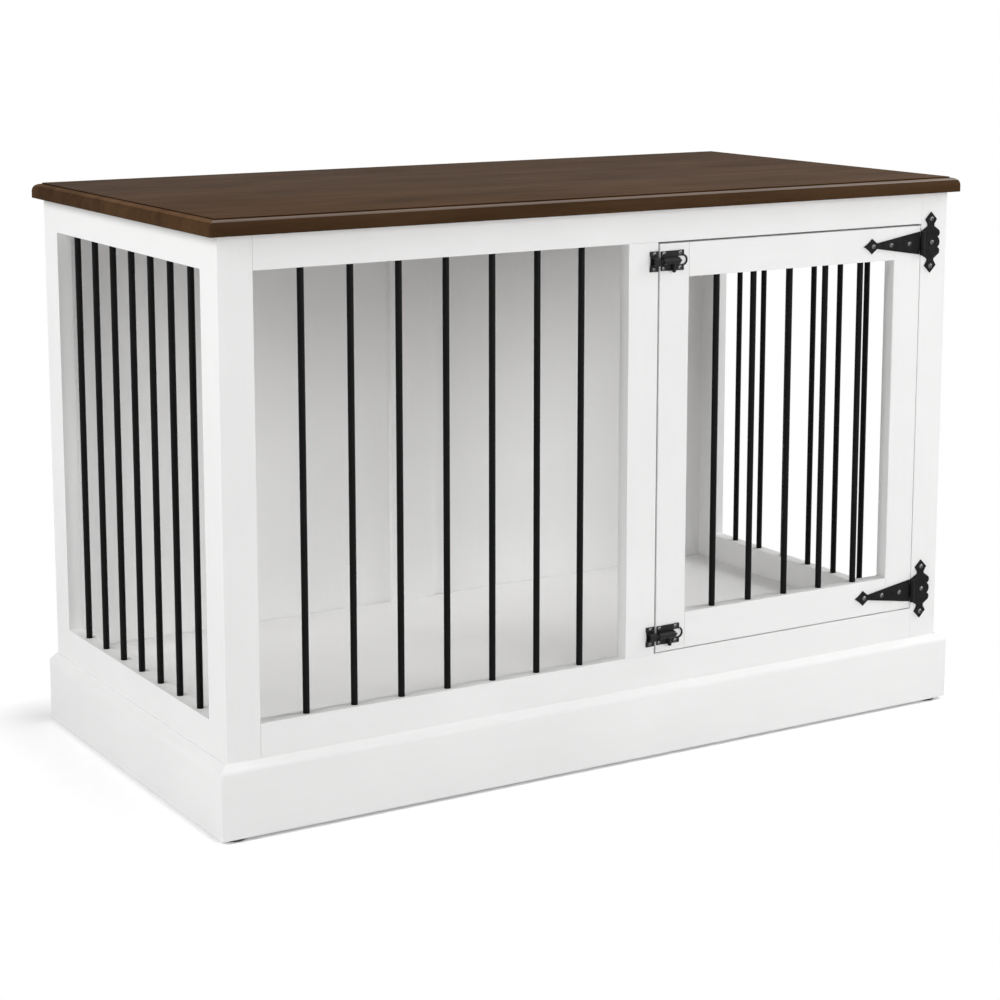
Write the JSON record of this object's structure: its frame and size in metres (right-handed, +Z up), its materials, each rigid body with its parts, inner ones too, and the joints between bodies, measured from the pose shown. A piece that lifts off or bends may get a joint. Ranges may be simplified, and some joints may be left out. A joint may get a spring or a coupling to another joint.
{
  "type": "pet crate",
  "caption": "Furniture-style pet crate: white timber cabinet with round black bars, dark stained top and a hinged barred door with strap hinges and slide bolts.",
  "frame": {"origin": "on the floor, under the middle of the top board, which is the bottom centre of the bounding box", "axes": "+X along the width towards the door's hinge side, +Y to the back, +Z up; the door is at -Y"},
  "size_m": [1.074, 0.55, 0.71],
  "materials": {
    "white_paint": "satin white paint",
    "stained_wood": "dark brown stain under satin lacquer",
    "bare_wood": "planed, unfinished",
    "black_bars": "satin black",
    "black_hardware": "matt black",
    "plain_steel": "zinc plated",
    "dark_plastic": "matt"
  },
  "bodies": {
    "cabinet": {"back_batten": "white_paint", "back_bottom_rail": "bare_wood", "back_panel_left": "white_paint", "back_panel_right": "white_paint", "back_panel_screws": "plain_steel", "back_top_rail": "white_paint", "cleat_screws": "plain_steel", "corner_glides": "dark_plastic", "floor_bearer": "bare_wood", "floor_panel": "white_paint", "frame_dowels": "bare_wood", "front_bars": "black_bars", "front_bottom_rail": "white_paint", "front_centre_stile": "white_paint", "front_floor_cleats": "bare_wood", "front_left_stile": "white_paint", "front_right_stile": "white_paint", "front_top_rail": "white_paint", "hinge_pins": "black_hardware", "hinge_plate_screws": "black_hardware", "keeper_screws": "black_hardware", "left_bars": "black_bars", "left_bottom_rail": "white_paint", "left_floor_cleat": "bare_wood", "left_front_stile": "white_paint", "left_rear_stile": "white_paint", "left_top_rail": "white_paint", "lower_hinge_plate": "black_hardware", "lower_keeper": "black_hardware", "right_bars": "black_bars", "right_bottom_rail": "white_paint", "right_floor_cleat": "bare_wood", "right_front_stile": "white_paint", "right_rear_stile": "white_paint", "right_top_rail": "white_paint", "skirting_front": "white_paint", "skirting_left": "white_paint", "skirting_right": "white_paint", "top_board": "stained_wood", "top_bracket_screws": "plain_steel", "top_brackets": "plain_steel", "upper_hinge_plate": "black_hardware", "upper_keeper": "black_hardware"},
    "door": {"door_left_stile": "white_paint", "door_right_stile": "white_paint", "door_top_rail": "white_paint", "door_bottom_rail": "white_paint", "door_bars": "black_bars", "door_dowels": "bare_wood", "upper_hinge_strap": "black_hardware", "lower_hinge_strap": "black_hardware", "hinge_strap_screws": "black_hardware", "upper_bolt_plate": "black_hardware", "lower_bolt_plate": "black_hardware", "bolt_plate_screws": "black_hardware"},
    "upper_slide": {"upper_bolt": "black_hardware", "upper_bolt_knob": "black_hardware"},
    "lower_slide": {"lower_bolt": "black_hardware", "lower_bolt_knob": "black_hardware"}
  },
  "joints": [
    {"name": "door_hinge", "type": "hinge", "parent": "cabinet", "child": "door", "pos_m": [0.4806, -0.26655, 0.39], "axis": [0, 0, 1], "range_deg": [0, 170]},
    {"name": "upper_bolt_slide", "type": "slide", "parent": "door", "child": "upper_slide", "axis": [-1, 0, 0], "range_m": [-0.004, 0.011]},
    {"name": "lower_bolt_slide", "type": "slide", "parent": "door", "child": "lower_slide", "axis": [-1, 0, 0], "range_m": [-0.004, 0.011]}
  ]
}
